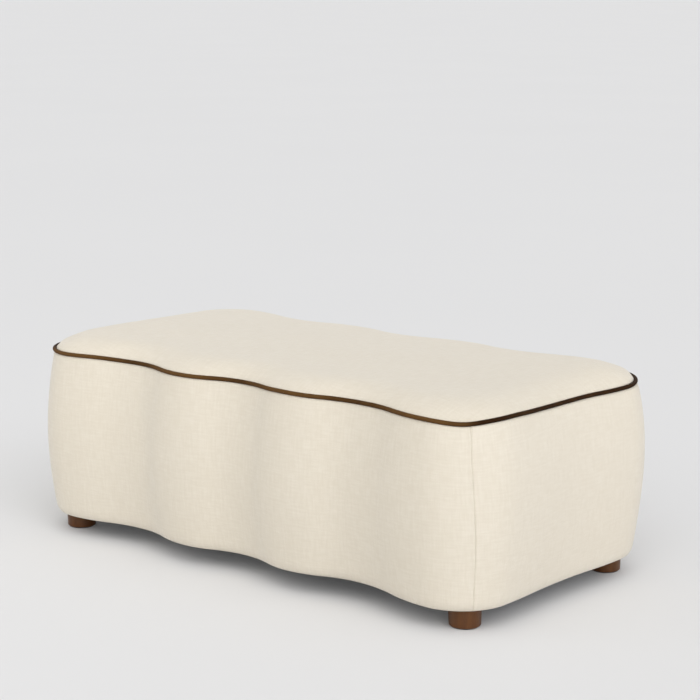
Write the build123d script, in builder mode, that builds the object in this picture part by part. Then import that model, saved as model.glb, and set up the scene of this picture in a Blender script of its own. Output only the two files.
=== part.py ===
# Ottoman coffee table: a scalloped, upholstered block with a crowned top, piping and four short feet.
# Millimetres. The origin is on the floor under the middle, +X runs along the length, -Y is the front.
import os
from math import atan, atan2, cos, degrees, hypot, pi, sin

from build123d import *

os.makedirs("parts", exist_ok=True)

# Plan outline, at the middle of the piping
half_length = 561.7
lobe_half_depth = 288.0
wave_depth = 26.9
shoulder_length = 178.1
corner_radius = 105.0
end_dip = 6.5

# Heights
hem_height = 39.0
piping_height = 375.0
crown_rise = 29.5
seat_foam_edge = 40.0

# Form of the sides, from the piping line
side_swell = 18.0
hem_tuck = 7.0
hem_roll = 20.0
swell_lift = 1.12
swell_fullness = 0.85
side_station_shares = (0, 0.03, 0.08, 0.18, 0.34, 0.54, 0.72, 0.88)

# Form of the crown, from the piping line inwards
crown_run = 105.0
crown_fullness = 3
wave_fade_share = 0.6
crown_station_shares = (0, 0.08, 0.2, 0.4, 0.7, 1)

# Layers of the upholstery, from the outside in
layer_gap = 0.3
seam_gap = 0.3
cover_thickness = 1.2
wadding_thickness = 5.0
skin_thickness = 3.0
skin_gap = 0.2
frame_inset = 24.0
hem_turn_in = 32.0
dust_cover_thickness = 0.6
dust_cover_inset = 20.0

# Piping
piping_radius = 4.0
piping_wall = 1.1
piping_cord_gap = 0.3
piping_skirt = 4.0

# Boards and posts
deck_thickness = 18.0
rail_thickness = 18.0
rail_waist = 55.0
end_rail_waist = 50.0
cross_rail_width = 70.0
cross_rail_thickness = 18.0
cross_rail_lap = 50.0
block_thickness = 22.0
block_inset = 2.0
block_reach = 70.0
post_width = 45.0
upright_depth = 27.0
post_shift_x = 9.5
post_shift_y = 5.5
vent_radius = 12.5
vent_pitch_x = 300.0
vent_pitch_y = 200.0
vents_along = 3
vents_across = 2

# Feet and what holds them
foot_radius = 30.0
foot_taper = 1.4
foot_round = 2.5
foot_top_chamfer = 0.8
foot_setback_x = 62.7
foot_setback_y = 67.0
pad_thickness = 2.0
pad_inset = 3.0
bolt_radius = 4.0
bolt_in_foot = 28.0
bolt_point = 4.0
bolt_point_radius = 1.0
bolt_tip_gap = 2.0
bolt_gap = 0.1
bolt_clearance = 0.5
nut_radius = 5.2
nut_length = 15.0
nut_flange_radius = 10.0
nut_flange_thickness = 1.5
nut_gap = 0.2

# Screws and staples
screw_radius = 2.2
screw_head_radius = 4.4
screw_head_height = 2.8
screw_point = 5.0
screw_gap = 0.1
recess_width = 1.0
recess_depth = 1.8
recess_length = 4.6
deck_screw_length = 50.0
base_screw_length = 60.0
base_screw_shift = 11.0
block_screw_length = 36.0
block_screw_edge = 14.0
block_screw_inset = 28.0
cross_screw_length = 34.0
cross_screw_spread = 36.0
staple_crown = 11.0
staple_leg = 8.0
staple_wire = 0.9
staple_gap = 0.1
staple_line_inset = 32.0
staple_spacing = 105.0
staple_foot_clearance = 8.0

# Places that follow from the sizes above
valley_spacing = half_length - corner_radius - shoulder_length
corner_x = half_length - corner_radius
corner_y = lobe_half_depth - corner_radius
rail_bottom = hem_height + cover_thickness
rail_top = rail_bottom + rail_thickness
block_top = rail_top + block_thickness
panel_top = piping_height - piping_radius - layer_gap
side_stations = [hem_height + share * (panel_top - hem_height) for share in side_station_shares]
side_stations.append(panel_top)
deck_top = piping_height - seat_foam_edge
deck_bottom = deck_top - deck_thickness
foot_top = hem_height - dust_cover_thickness
foot_x = half_length - foot_setback_x
foot_y = lobe_half_depth - foot_setback_y
valley_half_depth = lobe_half_depth - wave_depth - frame_inset
end_half_length = half_length - end_dip - frame_inset
rail_inner_y = valley_half_depth - rail_waist
end_rail_inner_x = end_half_length - end_rail_waist
upright_y = valley_half_depth - upright_depth / 2
end_upright_x = end_half_length - upright_depth / 2
corner_post_x = foot_x - post_shift_x
corner_post_y = foot_y - post_shift_y
wadding_layer = cover_thickness + layer_gap
foam_layer = wadding_layer + wadding_thickness + layer_gap
skin_face_inset = frame_inset - skin_gap - skin_thickness
foam_back_inset = skin_face_inset - layer_gap

corners = {
    "front_left": (-1, -1),
    "front_right": (1, -1),
    "back_left": (-1, 1),
    "back_right": (1, 1),
}
foot_places = [(sx * foot_x, sy * foot_y) for sx, sy in corners.values()]


def step_arc(rise, run):
    """Radius and turn in degrees of the two equal arcs that step a line sideways by rise over run."""
    turn = 2 * atan2(rise, run)
    return run / 2 / sin(turn), degrees(turn)


def outline(height, grow=0, inset=0, calm_share=1):
    """Plan of the body at a height: offset outwards by grow, or drawn in by inset with calmer waves."""
    length = half_length - inset
    width = lobe_half_depth - inset
    corner = corner_radius * width / lobe_half_depth
    depth = wave_depth * calm_share
    wave_radius, wave_turn = step_arc(depth, valley_spacing / 2)
    shoulder_radius, shoulder_turn = step_arc(depth, length - corner - valley_spacing)
    end_radius, end_turn = step_arc(end_dip * calm_share, width - corner)
    quarter = (
        (wave_radius, -wave_turn),
        (wave_radius, 2 * wave_turn),
        (wave_radius, -wave_turn),
        (shoulder_radius, -shoulder_turn),
        (shoulder_radius, shoulder_turn),
        (corner, 90),
        (end_radius, end_turn),
        (end_radius, -end_turn),
    )
    with BuildSketch(Plane.XY.offset(height)) as plan:
        with BuildLine():
            place = Vector(0, depth - width - grow)
            heading = Vector(1, 0)
            for radius, turn in quarter:
                offset_radius = radius + grow if turn > 0 else radius - grow
                arc = JernArc(place, heading, offset_radius, turn)
                place, heading = arc @ 1, arc % 1
            mirror(about=Plane.XZ)
            mirror(about=Plane.YZ)
        make_face()
    return plan.sketch


def swell(height):
    """How far the cover's outer face stands out from the piping line at a station's height."""
    above_hem = height - hem_height
    share = above_hem / (piping_height - hem_height)
    roll_share = max(0, 1 - above_hem / hem_roll)
    return side_swell * sin(pi * share**swell_lift) ** swell_fullness - hem_tuck * roll_share**2


def cover_grow(height):
    """The same at any height: straight between the stations, so that all layers stay parallel."""
    upper = max(1, next(i for i, station in enumerate(side_stations) if station >= height))
    low, high = side_stations[upper - 1 : upper + 1]
    share = (height - low) / (high - low)
    return swell(low) + share * (swell(high) - swell(low))


def side_outlines(bottom, top, layer):
    """Plans of the swelling sides between two heights, a layer inside the cover's outer face."""
    heights = [bottom, *(station for station in side_stations if bottom < station < top), top]
    return [outline(height, grow=cover_grow(height) - layer) for height in heights]


def crown_outlines(layer):
    """Plans of the crown, a layer inside the cover's outer face, with the skirt inside the piping."""
    start = piping_radius + layer_gap
    plans = [outline(piping_height - piping_skirt, inset=start + layer)]
    for share in crown_station_shares:
        from_line = start + share * (crown_run - start)
        left = 1 - from_line / crown_run
        lean = atan(crown_rise * crown_fullness / crown_run * left ** (crown_fullness - 1))
        height = piping_height + crown_rise * (1 - left**crown_fullness) - layer * cos(lean)
        inset = from_line + (layer * sin(lean) if share else layer)
        plans.append(outline(height, inset=inset, calm_share=1 - wave_fade_share * share))
    return plans


def sector(side):
    """Plan of one side's share of the body, mitred through the corners."""
    reach = corner_radius + side_swell + frame_inset
    x, y = corner_x + reach, corner_y + reach
    tip = corner_x - corner_y
    points = {
        "front": ((-x, -y), (x, -y), (tip, 0), (-tip, 0)),
        "back": ((-x, y), (-tip, 0), (tip, 0), (x, y)),
        "left": ((-x, -y), (-tip, 0), (-x, y)),
        "right": ((x, -y), (x, y), (tip, 0)),
    }
    with BuildSketch() as plan:
        Polygon(*points[side], align=None)
        offset(amount=-seam_gap / 2, kind=Kind.INTERSECTION)
    return plan.sketch


def screw(length, slack=0):
    """Countersunk wood screw, head up with its top at z = 0; slack grows it into the cutter of its hole."""
    shank = screw_radius + slack
    with BuildPart() as piece:
        with BuildSketch(Plane.XZ):
            with BuildLine():
                Polyline(
                    (0, 0),
                    (screw_head_radius + slack, 0),
                    (shank, -screw_head_height),
                    (shank, screw_point - length),
                    (0, -length - slack),
                    close=True,
                )
            make_face()
        revolve(axis=Axis.Z)
        if not slack:
            with BuildSketch():
                Rectangle(recess_length, recess_width)
                Rectangle(recess_width, recess_length)
            extrude(amount=-recess_depth, mode=Mode.SUBTRACT)
    return piece.part


def staple(slack=0):
    """Staple seen from below the body: crown under z = 0, legs up; slack gives the cutter of its slots."""
    leg = staple_wire + 2 * slack
    spread = staple_crown - staple_wire
    with BuildPart() as piece:
        if not slack:
            with BuildSketch(Plane.XY.offset(-staple_wire)):
                Rectangle(staple_crown, staple_wire)
            extrude(amount=staple_wire)
        with BuildSketch():
            with GridLocations(spread, 0, 2, 1):
                Rectangle(leg, leg)
        extrude(amount=staple_leg + slack)
    return piece.part


def staple_places():
    """Planes along the hem, clear of the feet, each with X along the hem."""
    line = outline(foot_top, grow=-staple_line_inset).face().outer_wire()
    count = round(line.length / staple_spacing)
    places = []
    for number in range(count):
        share = (2 * number + 1) / (2 * count)
        point = line.position_at(share)
        nearest = min(hypot(point.X - x, point.Y - y) for x, y in foot_places)
        if nearest > foot_radius + staple_crown / 2 + staple_foot_clearance:
            places.append(Plane(origin=point, x_dir=line.tangent_at(share), z_dir=(0, 0, 1)))
    return places


# Uprights along the valleys and in the middle of each end: name, centre, width in X and Y
uprights = {}
for side_name, side_sign in (("front", -1), ("back", 1)):
    for place_name, place_sign in (("left", -1), ("middle", 0), ("right", 1)):
        centre = (place_sign * valley_spacing, side_sign * upright_y)
        uprights[f"{side_name}_{place_name}_upright"] = (centre, post_width, upright_depth)
for place_name, place_sign in (("left", -1), ("right", 1)):
    centre = (place_sign * end_upright_x, 0)
    uprights[f"{place_name}_end_upright"] = (centre, upright_depth, post_width)

# Screw places, each with +Z out of the screw's head
post_places = [(sx * corner_post_x, sy * corner_post_y) for sx, sy in corners.values()]
upright_places = [centre for centre, _, _ in uprights.values()]
deck_screw_places = [Location((x, y, deck_top)) for x, y in upright_places + post_places]
corner_screw_places = [
    (sx * (corner_post_x - base_screw_shift), sy * (corner_post_y - base_screw_shift))
    for sx, sy in corners.values()
]
base_screw_places = [
    Location((x, y, rail_bottom), (180, 0, 0)) for x, y in upright_places + corner_screw_places
]
block_inner_x = foot_x - block_reach
block_inner_y = foot_y - block_reach
block_screw_points = (
    (block_inner_x + block_screw_edge, foot_y),
    (block_inner_x + block_screw_edge, rail_inner_y + block_screw_edge),
    (foot_x, block_inner_y + block_screw_edge),
    (end_rail_inner_x + block_screw_inset, block_inner_y + block_screw_edge),
)
block_screw_places = [
    Location((sx * x, sy * y, block_top)) for sx, sy in corners.values() for x, y in block_screw_points
]
cross_rail_top = rail_top + cross_rail_thickness
cross_rail_half = rail_inner_y + cross_rail_lap
cross_screw_y = rail_inner_y + cross_rail_lap / 2
cross_rail_x = valley_spacing / 2
cross_screw_places = [
    Location((sx * cross_rail_x + dx, sy * cross_screw_y, cross_rail_top))
    for sx, sy in corners.values()
    for dx in (-cross_screw_spread / 2, cross_screw_spread / 2)
]
hem_staple_places = staple_places()

# Screws and staples, and the cutters of their holes
deck_screw = screw(deck_screw_length)
base_screw = screw(base_screw_length)
block_screw = screw(block_screw_length)
cross_screw = screw(cross_screw_length)
deck_screw_hole = screw(deck_screw_length, screw_gap)
base_screw_hole = screw(base_screw_length, screw_gap)
block_screw_hole = screw(block_screw_length, screw_gap)
cross_screw_hole = screw(cross_screw_length, screw_gap)
hem_staple = staple()
hem_staple_slots = staple(staple_gap)

# Top deck, cut to the scalloped outline, with vent holes and countersunk screw holes
with BuildPart() as top_deck:
    extrude(outline(deck_bottom, grow=-frame_inset), amount=deck_thickness)
    with BuildSketch(Plane.XY.offset(deck_bottom)):
        with GridLocations(vent_pitch_x, vent_pitch_y, vents_along, vents_across):
            Circle(vent_radius)
    extrude(amount=deck_thickness, mode=Mode.SUBTRACT)
    with Locations(*deck_screw_places):
        add(deck_screw_hole, mode=Mode.SUBTRACT)
top_deck.part.label = "top_deck"
export_step(top_deck.part, "parts/top_deck.step")

# Bottom rails: one scalloped board, cut into two long rails and two end rails
with BuildPart() as rail_blank:
    extrude(outline(rail_bottom, grow=-frame_inset), amount=rail_thickness)
    with Locations(*base_screw_places):
        add(base_screw_hole, mode=Mode.SUBTRACT)
    with Locations(*block_screw_places):
        add(block_screw_hole, mode=Mode.SUBTRACT)
    with Locations(*cross_screw_places):
        add(cross_screw_hole, mode=Mode.SUBTRACT)
    with Locations(*hem_staple_places):
        add(hem_staple_slots, mode=Mode.SUBTRACT)
    with BuildSketch(Plane.XY.offset(rail_bottom)):
        with Locations(*foot_places):
            Circle(bolt_radius + bolt_clearance)
    extrude(amount=rail_thickness, mode=Mode.SUBTRACT)

long_rail_depth = lobe_half_depth - rail_inner_y
long_rail_middle = (lobe_half_depth + rail_inner_y) / 2
end_rail_length = half_length - end_rail_inner_x
end_rail_middle = (half_length + end_rail_inner_x) / 2
rail_cuts = {
    "front_bottom_rail": ((0, -long_rail_middle), 2 * half_length, long_rail_depth),
    "back_bottom_rail": ((0, long_rail_middle), 2 * half_length, long_rail_depth),
    "left_bottom_rail": ((-end_rail_middle, 0), end_rail_length, 2 * rail_inner_y),
    "right_bottom_rail": ((end_rail_middle, 0), end_rail_length, 2 * rail_inner_y),
}
for name, (centre, size_x, size_y) in rail_cuts.items():
    with BuildPart() as bottom_rail:
        add(rail_blank.part)
        with BuildSketch(Plane.XY.offset(rail_bottom)):
            with Locations(centre):
                Rectangle(size_x, size_y)
        extrude(amount=rail_thickness, mode=Mode.INTERSECT)
    bottom_rail.part.label = name
    export_step(bottom_rail.part, f"parts/{name}.step")

# Cross rails, lapped on the long rails at the inner lobes
for name, sx in (("left_cross_rail", -1), ("right_cross_rail", 1)):
    with BuildPart() as cross_rail:
        with BuildSketch(Plane.XY.offset(rail_top)):
            with Locations((sx * cross_rail_x, 0)):
                Rectangle(cross_rail_width, 2 * cross_rail_half)
        extrude(amount=cross_rail_thickness)
        with Locations(*cross_screw_places):
            add(cross_screw_hole, mode=Mode.SUBTRACT)
    cross_rail.part.label = name
    export_step(cross_rail.part, f"parts/{name}.step")

# Foot blocks: corner plates that tie a long rail to an end rail and hold the insert nuts
block_middle_x = (block_inner_x + half_length) / 2
block_middle_y = (block_inner_y + lobe_half_depth) / 2
for place, (sx, sy) in corners.items():
    name = f"{place}_foot_block"
    with BuildPart() as foot_block:
        extrude(outline(rail_top, grow=-frame_inset - block_inset), amount=block_thickness)
        with BuildSketch(Plane.XY.offset(rail_top)):
            with Locations((sx * block_middle_x, sy * block_middle_y)):
                Rectangle(half_length - block_inner_x, lobe_half_depth - block_inner_y)
        extrude(amount=block_thickness, mode=Mode.INTERSECT)
        with Locations((sx * foot_x, sy * foot_y, block_top)):
            CounterBoreHole(
                radius=nut_radius + nut_gap,
                counter_bore_radius=nut_flange_radius + nut_gap,
                counter_bore_depth=nut_flange_thickness + nut_gap,
                depth=block_thickness,
            )
        with Locations(*block_screw_places):
            add(block_screw_hole, mode=Mode.SUBTRACT)
        with Locations(*base_screw_places):
            add(base_screw_hole, mode=Mode.SUBTRACT)
    foot_block.part.label = name
    export_step(foot_block.part, f"parts/{name}.step")

# Corner posts, standing on the foot blocks
for (place, (sx, sy)), base_place, deck_place in zip(
    corners.items(), base_screw_places[len(uprights) :], deck_screw_places[len(uprights) :]
):
    name = f"{place}_post"
    with BuildPart() as corner_post:
        with BuildSketch(Plane.XY.offset(block_top)):
            with Locations((sx * corner_post_x, sy * corner_post_y)):
                Rectangle(post_width, post_width)
        extrude(amount=deck_bottom - block_top)
        with Locations(base_place):
            add(base_screw_hole, mode=Mode.SUBTRACT)
        with Locations(deck_place):
            add(deck_screw_hole, mode=Mode.SUBTRACT)
    corner_post.part.label = name
    export_step(corner_post.part, f"parts/{name}.step")

# Uprights, standing on the rails
for (name, (centre, size_x, size_y)), base_place, deck_place in zip(
    uprights.items(), base_screw_places, deck_screw_places
):
    with BuildPart() as upright:
        with BuildSketch(Plane.XY.offset(rail_top)):
            with Locations(centre):
                Rectangle(size_x, size_y)
        extrude(amount=deck_bottom - rail_top)
        with Locations(base_place):
            add(base_screw_hole, mode=Mode.SUBTRACT)
        with Locations(deck_place):
            add(deck_screw_hole, mode=Mode.SUBTRACT)
    upright.part.label = name
    export_step(upright.part, f"parts/{name}.step")

# Rings of each side layer, before they are cut into four at the corners
with BuildPart() as skin_ring:
    extrude(outline(rail_bottom, grow=-skin_face_inset), amount=deck_top - rail_bottom)
    extrude(
        outline(rail_bottom, grow=skin_gap - frame_inset),
        amount=deck_top - rail_bottom,
        mode=Mode.SUBTRACT,
    )

side_bottom = rail_bottom + layer_gap
with BuildPart() as foam_ring:
    loft(side_outlines(side_bottom, deck_top, foam_layer), ruled=True)
    extrude(
        outline(side_bottom, grow=-foam_back_inset),
        amount=deck_top - side_bottom,
        mode=Mode.SUBTRACT,
    )

with BuildPart() as wadding_ring:
    loft(side_outlines(side_bottom, panel_top, wadding_layer), ruled=True)
    loft(side_outlines(side_bottom, panel_top, foam_layer - layer_gap), ruled=True, mode=Mode.SUBTRACT)

with BuildPart() as cover_ring:
    loft(side_outlines(hem_height, panel_top, 0), ruled=True)
    loft(side_outlines(rail_bottom, panel_top, cover_thickness), ruled=True, mode=Mode.SUBTRACT)
    extrude(
        outline(hem_height, grow=-hem_tuck - hem_turn_in),
        amount=cover_thickness,
        mode=Mode.SUBTRACT,
    )
    with Locations(*hem_staple_places):
        add(hem_staple_slots, mode=Mode.SUBTRACT)

layer_rings = {
    "skin": skin_ring,
    "foam": foam_ring,
    "wadding": wadding_ring,
    "cover": cover_ring,
}
for side in ("front", "back", "left", "right"):
    side_sector = sector(side)
    for layer_name, ring in layer_rings.items():
        name = f"{side}_{layer_name}"
        with BuildPart() as side_layer:
            add(ring.part)
            extrude(side_sector, amount=piping_height, mode=Mode.INTERSECT)
        side_layer.part.label = name
        export_step(side_layer.part, f"parts/{name}.step")

# Top foam: a slab over the deck and the side foam, stepped in at the piping, with a crowned face
with BuildPart() as top_foam:
    loft(side_outlines(deck_top, panel_top, foam_layer), ruled=True)
    skirt_plan = outline(panel_top, inset=piping_radius + layer_gap + foam_layer)
    extrude(skirt_plan, amount=piping_height - piping_skirt - panel_top)
    loft(crown_outlines(foam_layer), ruled=True)
top_foam.part.label = "top_foam"
export_step(top_foam.part, "parts/top_foam.step")

# Top wadding and top cover: crowned sheets with a skirt inside the piping
with BuildPart() as top_wadding:
    loft(crown_outlines(wadding_layer), ruled=True)
    loft(crown_outlines(foam_layer - layer_gap), ruled=True, mode=Mode.SUBTRACT)
top_wadding.part.label = "top_wadding"
export_step(top_wadding.part, "parts/top_wadding.step")

with BuildPart() as top_cover:
    loft(crown_outlines(0), ruled=True)
    loft(crown_outlines(cover_thickness), ruled=True, mode=Mode.SUBTRACT)
top_cover.part.label = "top_cover"
export_step(top_cover.part, "parts/top_cover.step")

# Piping: a tube of covering round a filler cord, all round the top edge
piping_line = outline(piping_height).face().outer_wire()
piping_plane = Plane(origin=piping_line @ 0, z_dir=piping_line % 0)
with BuildPart() as piping_cover:
    with BuildSketch(piping_plane):
        Circle(piping_radius)
    sweep(path=piping_line)
    with BuildSketch(piping_plane):
        Circle(piping_radius - piping_wall)
    sweep(path=piping_line, mode=Mode.SUBTRACT)
piping_cover.part.label = "piping_cover"
export_step(piping_cover.part, "parts/piping_cover.step")

with BuildPart() as piping_cord:
    with BuildSketch(piping_plane):
        Circle(piping_radius - piping_wall - piping_cord_gap)
    sweep(path=piping_line)
piping_cord.part.label = "piping_cord"
export_step(piping_cord.part, "parts/piping_cord.step")

# Dust cover: non-woven sheet that laps over the turned-in hem, pierced for the bolts and staples
with BuildPart() as dust_cover:
    extrude(outline(foot_top, grow=-dust_cover_inset), amount=dust_cover_thickness)
    with BuildSketch(Plane.XY.offset(foot_top)):
        with Locations(*foot_places):
            Circle(bolt_radius + bolt_clearance)
    extrude(amount=dust_cover_thickness, mode=Mode.SUBTRACT)
    with Locations(*hem_staple_places):
        add(hem_staple_slots, mode=Mode.SUBTRACT)
dust_cover.part.label = "dust_cover"
export_step(dust_cover.part, "parts/dust_cover.step")

with BuildPart() as hem_staples:
    with Locations(*hem_staple_places):
        add(hem_staple)
hem_staples.part.label = "hem_staples"
export_step(hem_staples.part, "parts/hem_staples.step")

# Turned feet, bored for the bolts
for place, (sx, sy) in corners.items():
    name = f"{place}_foot"
    with BuildPart() as foot:
        with BuildSketch(Plane.XZ) as foot_half:
            with BuildLine():
                Polyline(
                    (0, pad_thickness),
                    (foot_radius - foot_taper, pad_thickness),
                    (foot_radius, foot_top),
                    (0, foot_top),
                    close=True,
                )
            make_face()
            rim = foot_half.vertices().group_by(Axis.X)
            fillet(rim[1], radius=foot_round)
            chamfer(foot_half.vertices().sort_by(Axis.X)[-1], length=foot_top_chamfer)
        revolve(axis=Axis.Z)
        with Locations((0, 0, foot_top)):
            Hole(bolt_radius + bolt_gap, depth=bolt_in_foot + bolt_gap)
    foot.part.locate(Location((sx * foot_x, sy * foot_y, 0)))
    foot.part.label = name
    export_step(foot.part, f"parts/{name}.step")

with BuildPart() as foot_pads:
    with BuildSketch():
        with Locations(*foot_places):
            Circle(foot_radius - foot_taper - pad_inset)
    extrude(amount=pad_thickness)
foot_pads.part.label = "foot_pads"
export_step(foot_pads.part, "parts/foot_pads.step")

# Hanger bolts: pointed wood end in the foot, plain end up through the insert nut
bolt_bottom = foot_top - bolt_in_foot
bolt_top = block_top - bolt_tip_gap
with BuildPart() as hanger_bolts:
    with BuildSketch(Plane.XY.offset(bolt_bottom + bolt_point)):
        with Locations(*foot_places):
            Circle(bolt_radius)
    extrude(amount=bolt_top - bolt_bottom - bolt_point)
    with Locations(*(Vector(x, y, bolt_bottom + bolt_point / 2) for x, y in foot_places)):
        Cone(bolt_point_radius, bolt_radius, bolt_point)
hanger_bolts.part.label = "hanger_bolts"
export_step(hanger_bolts.part, "parts/hanger_bolts.step")

with BuildPart() as insert_nuts:
    with BuildSketch(Plane.XY.offset(block_top)):
        with Locations(*foot_places):
            Circle(nut_flange_radius)
    extrude(amount=-nut_flange_thickness)
    with BuildSketch(Plane.XY.offset(block_top)):
        with Locations(*foot_places):
            Circle(nut_radius)
    extrude(amount=-nut_length)
    with BuildSketch(Plane.XY.offset(block_top)):
        with Locations(*foot_places):
            Circle(bolt_radius + bolt_gap)
    extrude(amount=-nut_length, mode=Mode.SUBTRACT)
insert_nuts.part.label = "insert_nuts"
export_step(insert_nuts.part, "parts/insert_nuts.step")

# Wood screws, one node for each kind
screw_groups = {
    "deck_screws": (deck_screw, deck_screw_places),
    "base_screws": (base_screw, base_screw_places),
    "foot_block_screws": (block_screw, block_screw_places),
    "cross_rail_screws": (cross_screw, cross_screw_places),
}
for name, (one_screw, places) in screw_groups.items():
    with BuildPart() as screws:
        with Locations(*places):
            add(one_screw)
    screws.part.label = name
    export_step(screws.part, f"parts/{name}.step")
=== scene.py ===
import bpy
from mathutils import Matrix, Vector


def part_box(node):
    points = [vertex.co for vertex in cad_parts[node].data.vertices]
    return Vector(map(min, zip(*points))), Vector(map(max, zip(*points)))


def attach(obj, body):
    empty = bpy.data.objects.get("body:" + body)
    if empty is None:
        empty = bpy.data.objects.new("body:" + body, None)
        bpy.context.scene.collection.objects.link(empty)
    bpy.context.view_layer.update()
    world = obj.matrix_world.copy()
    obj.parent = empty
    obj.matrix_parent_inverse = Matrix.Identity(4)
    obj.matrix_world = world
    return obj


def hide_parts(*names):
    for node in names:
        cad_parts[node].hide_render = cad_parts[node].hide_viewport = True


bl_info = {
    "name": "Ottoman Coffee Table",
    "version": (1, 0, 0),
    "blender": (4, 5, 0),
    "location": "View3D > Sidebar > Ottoman",
    "description": "Covers, piping, padding and finishes of an upholstered ottoman coffee table",
    "category": "Add Mesh",
}

from collections import namedtuple
from math import atan, atan2, copysign, cos, exp, pi, radians, sin

import bmesh
import bpy
import numpy as np
from bpy.props import FloatProperty, FloatVectorProperty, PointerProperty
from mathutils import Vector, noise
from mathutils.kdtree import KDTree

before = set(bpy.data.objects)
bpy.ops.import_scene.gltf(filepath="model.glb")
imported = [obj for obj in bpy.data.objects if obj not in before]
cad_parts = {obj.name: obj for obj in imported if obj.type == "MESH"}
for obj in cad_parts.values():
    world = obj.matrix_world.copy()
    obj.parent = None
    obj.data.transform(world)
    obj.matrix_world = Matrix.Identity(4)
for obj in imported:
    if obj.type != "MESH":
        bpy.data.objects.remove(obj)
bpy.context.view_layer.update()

# The outline's arcs: how many a quarter of it has, and which of them is the corner
ARCS_IN_QUARTER = 8
CORNER_ARC = 5

# Form of the sides and the crown
SWELL_LIFT = 1.12
SWELL_FULLNESS = 0.85
CROWN_FULLNESS = 3
WAVE_FADE = 0.6
TOP_CREST = 0.0022

# Hand-made unevenness, in metres: where along the outline from the front's middle, over how far, and how high
SEAM_LIFTS = (
    (0.08, 0.42, 0.0009), (-0.40, 0.035, 0.0019), (0.12, 0.03, 0.0013), (0.17, 0.06, 0.0022), (0.36, 0.055, 0.0015),
    (0.538, 0.028, -0.0038), (0.63, 0.04, 0.0020), (0.80, 0.06, -0.0017), (0.98, 0.06, -0.0033),
)
HEM_LIFTS = ((0.27, 0.11, 0.0045),)
# Where the top cover rises more steeply from the piping: at the back right and front left corners
LIP_LIFTS = ((1.11, 0.07, 0.0045), (-0.60, 0.05, 0.0030))
# Fuller and flatter places of the crown: centre, spread in X and Y, and height
CROWN_LIFTS = (
    (-0.50, -0.08, 0.09, 0.14, 0.0055),
    (-0.15, 0.24, 0.20, 0.07, -0.0017),
    (0.30, 0.24, 0.12, 0.07, 0.0018),
    (0.50, 0.20, 0.06, 0.07, 0.0030),
)
# How far in from the piping each of those lifts reaches
SEAM_REACH = 0.05
CROWN_REACH = 0.04
LIP_REACH = 0.008
# Heights between which the lifts of the piping fade down the sides, and below which those of the hem fade
SEAM_FADE = (0.25, 0.37)
HEM_FADE = 0.14
HEM_REACH = 0.004

# The back right corner stands a little fuller than the front left one, whose piping is drawn in
FULL_CORNER = np.array((0.7585, 0.6517))
FULLER_BY, FULL_HEIGHT, FULL_SPREAD, FULL_END = 0.0038, 0.305, 0.083, 0.006
CORNER_PINCH, PINCH_DOWN, PINCH_IN = 0.0022, 0.02, 0.03

# Distances from the middle towards the front between which the piping gets its painted highlight, a lighter colour
# standing in for light on its front
FRONT_HIGHLIGHT = (0.235, 0.292)

# Cloth simulation of the covers: pressure, extra cloth as a share, frames, and how far a point may move
CLOTH_PRESSURE = 4.0
CLOTH_EASE = 0.004
CLOTH_FRAMES = 14
TOP_GIVE = 0.002
SIDE_GIVE = 0.0012

# The cloth beside a corner seam: a raised lip, and the groove of the seam
LIP_HEIGHT, LIP_PLACE, LIP_WIDTH = 0.0005, 0.0030, 0.0020
GROOVE_DEPTH, GROOVE_WIDTH = 0.0008, 0.0009

# Directions, in degrees, of the points where a side cover and the top cover curl round the piping
SIDE_CURL = (268, 256, 240, 222, 204)
TOP_CURL = (200, 186, 172, 158, 144)

# Small parts, in metres
PIPING_WALL = 0.0011
PIPING_CORE = 0.65
PAD_END_GAP = 0.0004
PAD_EDGE = 0.0012
DUST_INSET = 0.020
DUST_SAG = 0.0012
DUST_THICKNESS = 0.0004
FELT_INSET = 0.0045
FELT_EDGE = 0.0006

# Points and rings of the meshes
SIDE_STEP = 0.0045
TURNED_IN = 4
HEM_STEPS = 12
SIDE_RINGS = 62
TOP_POINTS = 721
PIPING_POINTS = 901
PAD_POINTS = 481
# Two points closer than this are one
SAME_PLACE = 0.00001


# ---- sizes and colours


def length_prop(name, description, default):
    looks = {"min": 0.0, "precision": 4, "unit": "LENGTH", "subtype": "DISTANCE"}
    return FloatProperty(name=name, description=description, default=default, **looks)


def colour_prop(name, description, default):
    looks = {"size": 3, "min": 0.0, "max": 1.0, "subtype": "COLOR"}
    return FloatVectorProperty(name=name, description=description, default=default, **looks)


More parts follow.
